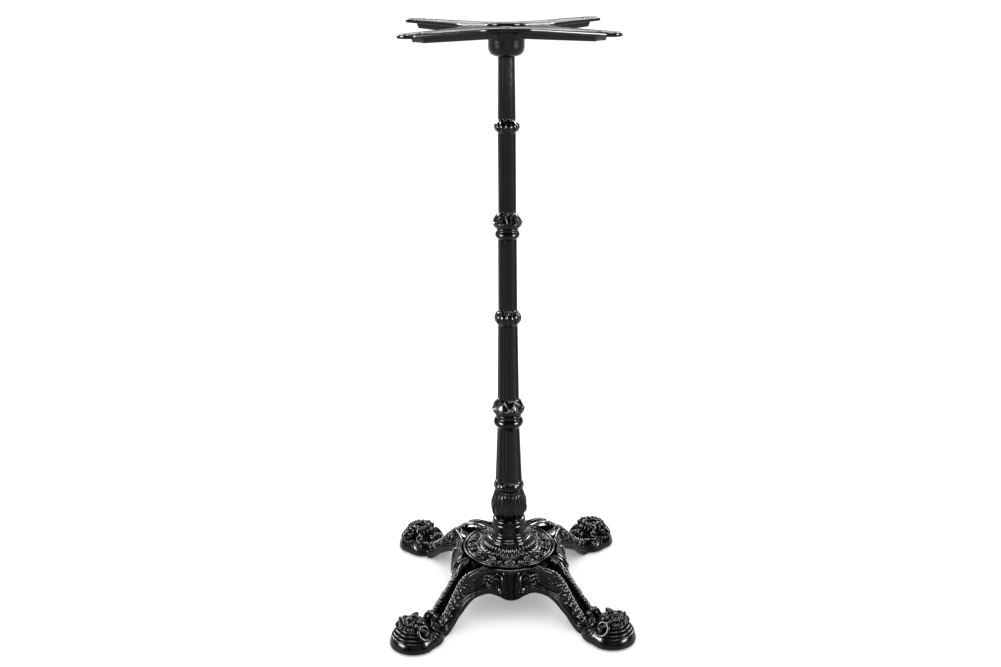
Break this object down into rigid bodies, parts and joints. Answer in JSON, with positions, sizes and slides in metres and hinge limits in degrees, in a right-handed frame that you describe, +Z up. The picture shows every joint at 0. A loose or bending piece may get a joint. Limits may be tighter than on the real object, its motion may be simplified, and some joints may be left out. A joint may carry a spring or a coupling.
{
  "type": "pedestal table base",
  "caption": "Ornate black cast-iron pedestal base for a bar-height table: splayed scroll feet, rosette hub, fluted column and a cross-shaped top plate with screw holes.",
  "frame": {"origin": "on the floor under the axis of the column", "axes": "+Z up along the column; the four legs and the four arms of the top plate lie on the diagonals of X and Y"},
  "size_m": [0.4512, 0.4512, 1.08],
  "materials": {
    "black_enamel": "gloss black enamel over sand-cast iron",
    "zinc_steel": "zinc plated",
    "glide_plastic": "moulded black"
  },
  "bodies": {
    "frame": {"base_casting": "black_enamel", "hub_rosette": "black_enamel", "column_lower_section": "black_enamel", "column_middle_section": "black_enamel", "column_upper_section": "black_enamel", "top_spider": "black_enamel", "glide_lock_nuts": "zinc_steel", "tie_rod": "zinc_steel", "tie_rod_top_washer": "zinc_steel", "tie_rod_top_lock_washer": "zinc_steel", "tie_rod_top_nut": "zinc_steel", "tie_rod_bottom_washer": "zinc_steel", "tie_rod_bottom_lock_washer": "zinc_steel", "tie_rod_bottom_nut": "zinc_steel"},
    "glide_pad_1_body": {"glide_pad_1": "glide_plastic"},
    "glide_stud_1_body": {"glide_stud_1": "zinc_steel"},
    "glide_pad_2_body": {"glide_pad_2": "glide_plastic"},
    "glide_stud_2_body": {"glide_stud_2": "zinc_steel"},
    "glide_pad_3_body": {"glide_pad_3": "glide_plastic"},
    "glide_stud_3_body": {"glide_stud_3": "zinc_steel"},
    "glide_pad_4_body": {"glide_pad_4": "glide_plastic"},
    "glide_stud_4_body": {"glide_stud_4": "zinc_steel"}
  },
  "joints": [
    {"name": "glide_1_height", "type": "slide", "parent": "frame", "child": "glide_pad_1_body", "axis": [0, 0, -1], "range_m": [0, 0.01]},
    {"name": "glide_1_turn", "type": "hinge", "parent": "glide_pad_1_body", "child": "glide_stud_1_body", "pos_m": [0.1796, 0.1796, 0.004], "axis": [0, 0, -1], "range_deg": [0, 2880]},
    {"name": "glide_2_height", "type": "slide", "parent": "frame", "child": "glide_pad_2_body", "axis": [0, 0, -1], "range_m": [0, 0.01]},
    {"name": "glide_2_turn", "type": "hinge", "parent": "glide_pad_2_body", "child": "glide_stud_2_body", "pos_m": [-0.1796, 0.1796, 0.004], "axis": [0, 0, -1], "range_deg": [0, 2880]},
    {"name": "glide_3_height", "type": "slide", "parent": "frame", "child": "glide_pad_3_body", "axis": [0, 0, -1], "range_m": [0, 0.01]},
    {"name": "glide_3_turn", "type": "hinge", "parent": "glide_pad_3_body", "child": "glide_stud_3_body", "pos_m": [-0.1796, -0.1796, 0.004], "axis": [0, 0, -1], "range_deg": [0, 2880]},
    {"name": "glide_4_height", "type": "slide", "parent": "frame", "child": "glide_pad_4_body", "axis": [0, 0, -1], "range_m": [0, 0.01]},
    {"name": "glide_4_turn", "type": "hinge", "parent": "glide_pad_4_body", "child": "glide_stud_4_body", "pos_m": [0.1796, -0.1796, 0.004], "axis": [0, 0, -1], "range_deg": [0, 2880]}
  ],
  "couplings": [
    {"joint": "glide_1_turn", "follows": "glide_1_height", "rad_per_m": 5026.5},
    {"joint": "glide_2_turn", "follows": "glide_2_height", "rad_per_m": 5026.5},
    {"joint": "glide_3_turn", "follows": "glide_3_height", "rad_per_m": 5026.5},
    {"joint": "glide_4_turn", "follows": "glide_4_height", "rad_per_m": 5026.5}
  ]
}
